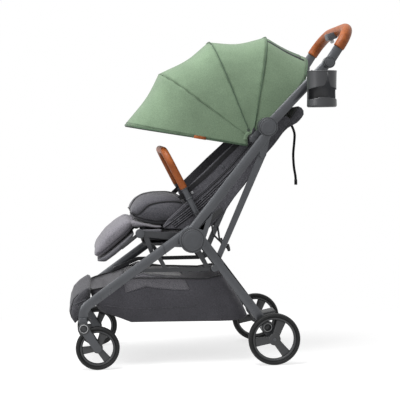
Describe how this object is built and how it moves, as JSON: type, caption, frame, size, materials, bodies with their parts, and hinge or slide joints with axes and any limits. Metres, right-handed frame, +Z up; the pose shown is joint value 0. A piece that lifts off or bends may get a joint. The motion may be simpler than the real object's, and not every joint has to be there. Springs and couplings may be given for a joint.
{
  "type": "stroller",
  "caption": "Folding stroller with a padded reclining seat, bumper bar, hooped canopy, shopping basket, cup holder and sprung swivel casters.",
  "frame": {"origin": "on the ground, under the middle of the overall box", "axes": "+Z up, -Y the way the child faces and the stroller drives, +X the child's left"},
  "size_m": [0.567, 0.9132, 1.075],
  "materials": {
    "frame_tube": "satin",
    "moulded_plastic": "matte",
    "leatherette": "satin",
    "tyre_rubber": "matte",
    "wheel_plastic": "satin",
    "canopy_cloth": "matte",
    "seat_cloth": "matte",
    "leg_rest_cloth": "matte",
    "basket_cloth": "matte",
    "webbing": "matte",
    "button_plastic": "gloss"
  },
  "bodies": {
    "chassis": {"front_leg_left": "frame_tube", "front_leg_right": "frame_tube", "hub_pin_left": "moulded_plastic", "hub_pin_right": "moulded_plastic", "front_cross_tube": "frame_tube", "seat_side_frame_left": "frame_tube", "seat_side_frame_right": "frame_tube", "seat_board": "moulded_plastic", "seat_pad": "seat_cloth", "front_bolster": "seat_cloth", "front_panel": "basket_cloth", "basket": "basket_cloth"},
    "main": {"main_tube_left": "frame_tube", "main_tube_right": "frame_tube", "fold_pin_left": "moulded_plastic", "fold_pin_right": "moulded_plastic"},
    "backrest": {"backrest_board": "moulded_plastic", "backrest_pad": "seat_cloth", "seat_shell": "seat_cloth", "recline_strap": "webbing"},
    "handle": {"handle_tube_left": "frame_tube", "handle_tube_right": "frame_tube", "cup_holder": "moulded_plastic", "canopy": "canopy_cloth"},
    "handle_bar": {"handle_collar_left": "moulded_plastic", "handle_collar_right": "moulded_plastic", "handle_grip": "leatherette", "button_box": "moulded_plastic"},
    "fold_button": {"fold_button": "button_plastic"},
    "bow_rear": {"canopy_bow_rear": "frame_tube"},
    "bow_top": {"canopy_bow_top": "frame_tube"},
    "bow_mid": {"canopy_bow_mid": "frame_tube"},
    "bow_front": {"canopy_bow_front": "frame_tube"},
    "struts": {"strut_left": "frame_tube", "strut_right": "frame_tube"},
    "rear_frame": {"rear_leg_left": "frame_tube", "rear_leg_right": "frame_tube", "rear_cross_tube": "frame_tube"},
    "brake": {"brake_pedal": "moulded_plastic"},
    "leg_rest": {"leg_rest_board": "moulded_plastic", "leg_rest_pad": "leg_rest_cloth"},
    "bumper": {"bumper_arm_left": "moulded_plastic", "bumper_arm_right": "moulded_plastic", "bumper_grip": "leatherette"},
    "rear_arm_left": {"rear_arm_left": "moulded_plastic"},
    "rear_wheel_left": {"rear_left_tyre": "tyre_rubber", "rear_left_wheel": "wheel_plastic"},
    "caster_left": {"caster_block_left": "moulded_plastic"},
    "fork_left": {"caster_fork_left": "moulded_plastic"},
    "front_wheel_left": {"front_left_tyre": "tyre_rubber", "front_left_wheel": "wheel_plastic"},
    "swivel_lock_left": {"swivel_lock_left": "moulded_plastic"},
    "rear_arm_right": {"rear_arm_right": "moulded_plastic"},
    "rear_wheel_right": {"rear_right_tyre": "tyre_rubber", "rear_right_wheel": "wheel_plastic"},
    "caster_right": {"caster_block_right": "moulded_plastic"},
    "fork_right": {"caster_fork_right": "moulded_plastic"},
    "front_wheel_right": {"front_right_tyre": "tyre_rubber", "front_right_wheel": "wheel_plastic"},
    "swivel_lock_right": {"swivel_lock_right": "moulded_plastic"}
  },
  "joints": [
    {"name": "fold", "type": "hinge", "parent": "chassis", "child": "main", "pos_m": [-0.04553, -0.06805, 0.402], "axis": [1, 0, 0], "range_deg": [0, 128], "deforming": ["seat_pad", "front_bolster", "backrest_pad", "seat_shell", "leg_rest_pad"]},
    {"name": "recline", "type": "hinge", "parent": "main", "child": "backrest", "pos_m": [-0.04553, -0.06805, 0.402], "axis": [1, 0, 0], "range_deg": [-50, 0]},
    {"name": "handle_fold", "type": "hinge", "parent": "main", "child": "handle", "pos_m": [-0.04553, 0.17195, 0.749], "axis": [1, 0, 0], "range_deg": [-128, 0]},
    {"name": "handle_tilt", "type": "hinge", "parent": "handle", "child": "handle_bar", "pos_m": [-0.04553, 0.36595, 0.947], "axis": [1, 0, 0], "range_deg": [-25, 25]},
    {"name": "button_press", "type": "slide", "parent": "handle_bar", "child": "fold_button", "axis": [0, -0.2588, 0.9659], "range_m": [0, 0.004], "stiffness_N_per_m": 300, "springref_m": -0.002},
    {"name": "canopy_fold", "type": "hinge", "parent": "handle", "child": "bow_rear", "pos_m": [-0.04553, 0.12895, 0.712], "axis": [-1, 0, 0], "range_deg": [0, 16], "deforming": ["canopy"]},
    {"name": "canopy_fold_top", "type": "hinge", "parent": "bow_rear", "child": "bow_top", "pos_m": [-0.04553, 0.12895, 0.712], "axis": [-1, 0, 0], "range_deg": [0, 16]},
    {"name": "canopy_fold_mid", "type": "hinge", "parent": "bow_top", "child": "bow_mid", "pos_m": [-0.04553, 0.12895, 0.712], "axis": [-1, 0, 0], "range_deg": [0, 16]},
    {"name": "canopy_fold_front", "type": "hinge", "parent": "bow_mid", "child": "bow_front", "pos_m": [-0.04553, 0.12895, 0.712], "axis": [-1, 0, 0], "range_deg": [0, 16]},
    {"name": "strut_swing", "type": "hinge", "parent": "handle", "child": "struts", "pos_m": [-0.04553, 0.15995, 0.661], "axis": [1, 0, 0], "range_deg": [0, 114]},
    {"name": "rear_fold", "type": "hinge", "parent": "chassis", "child": "rear_frame", "pos_m": [-0.04553, -0.06805, 0.402], "axis": [1, 0, 0], "range_deg": [-58, 0]},
    {"name": "brake_press", "type": "hinge", "parent": "rear_frame", "child": "brake", "pos_m": [-0.04553, 0.16145, 0.1275], "axis": [-1, 0, 0], "range_deg": [0, 18]},
    {"name": "leg_rest_lift", "type": "hinge", "parent": "chassis", "child": "leg_rest", "pos_m": [-0.04553, -0.22805, 0.42], "axis": [1, 0, 0], "range_deg": [-35, 25]},
    {"name": "bumper_pull", "type": "slide", "parent": "chassis", "child": "bumper", "axis": [0, 0.4461, -0.895], "range_m": [-0.03, 0]},
    {"name": "rear_suspension_left", "type": "hinge", "parent": "rear_frame", "child": "rear_arm_left", "pos_m": [-0.04553, 0.16855, 0.1174], "axis": [1, 0, 0], "range_deg": [0, 5], "stiffness_Nm_per_rad": 60, "springref_deg": -1.72},
    {"name": "rear_wheel_spin_left", "type": "hinge", "parent": "rear_arm_left", "child": "rear_wheel_left", "pos_m": [0.16897, 0.18715, 0.08229], "axis": [1, 0, 0], "continuous": true},
    {"name": "caster_swivel_left", "type": "hinge", "parent": "chassis", "child": "caster_left", "pos_m": [0.15798, -0.41005, 0.15], "axis": [0, 0, 1], "continuous": true},
    {"name": "front_suspension_left", "type": "hinge", "parent": "caster_left", "child": "fork_left", "pos_m": [-0.04553, -0.40905, 0.1335], "axis": [1, 0, 0], "range_deg": [0, 5], "stiffness_Nm_per_rad": 90, "springref_deg": -2.29},
    {"name": "front_wheel_spin_left", "type": "hinge", "parent": "fork_left", "child": "front_wheel_left", "pos_m": [0.15798, -0.36705, 0.06841], "axis": [1, 0, 0], "continuous": true},
    {"name": "swivel_lock_slide_left", "type": "slide", "parent": "caster_left", "child": "swivel_lock_left", "axis": [0, 1, 0], "range_m": [0, 0.005]},
    {"name": "rear_suspension_right", "type": "hinge", "parent": "rear_frame", "child": "rear_arm_right", "pos_m": [-0.04553, 0.16855, 0.1174], "axis": [1, 0, 0], "range_deg": [0, 5], "stiffness_Nm_per_rad": 60, "springref_deg": -1.72},
    {"name": "rear_wheel_spin_right", "type": "hinge", "parent": "rear_arm_right", "child": "rear_wheel_right", "pos_m": [-0.26003, 0.18715, 0.08229], "axis": [1, 0, 0], "continuous": true},
    {"name": "caster_swivel_right", "type": "hinge", "parent": "chassis", "child": "caster_right", "pos_m": [-0.24902, -0.41005, 0.15], "axis": [0, 0, 1], "continuous": true},
    {"name": "front_suspension_right", "type": "hinge", "parent": "caster_right", "child": "fork_right", "pos_m": [-0.04553, -0.40905, 0.1335], "axis": [1, 0, 0], "range_deg": [0, 5], "stiffness_Nm_per_rad": 90, "springref_deg": -2.29},
    {"name": "front_wheel_spin_right", "type": "hinge", "parent": "fork_right", "child": "front_wheel_right", "pos_m": [-0.24902, -0.36705, 0.06841], "axis": [1, 0, 0], "continuous": true},
    {"name": "swivel_lock_slide_right", "type": "slide", "parent": "caster_right", "child": "swivel_lock_right", "axis": [0, 1, 0], "range_m": [0, 0.005]}
  ],
  "couplings": [
    {"joint": "handle_fold", "follows": "fold", "ratio": -1},
    {"joint": "strut_swing", "follows": "fold", "ratio": 0.89062},
    {"joint": "rear_fold", "follows": "fold", "ratio": -0.45312},
    {"joint": "canopy_fold_top", "follows": "canopy_fold", "ratio": 1},
    {"joint": "canopy_fold_mid", "follows": "canopy_fold", "ratio": 1},
    {"joint": "canopy_fold_front", "follows": "canopy_fold", "ratio": 1}
  ]
}
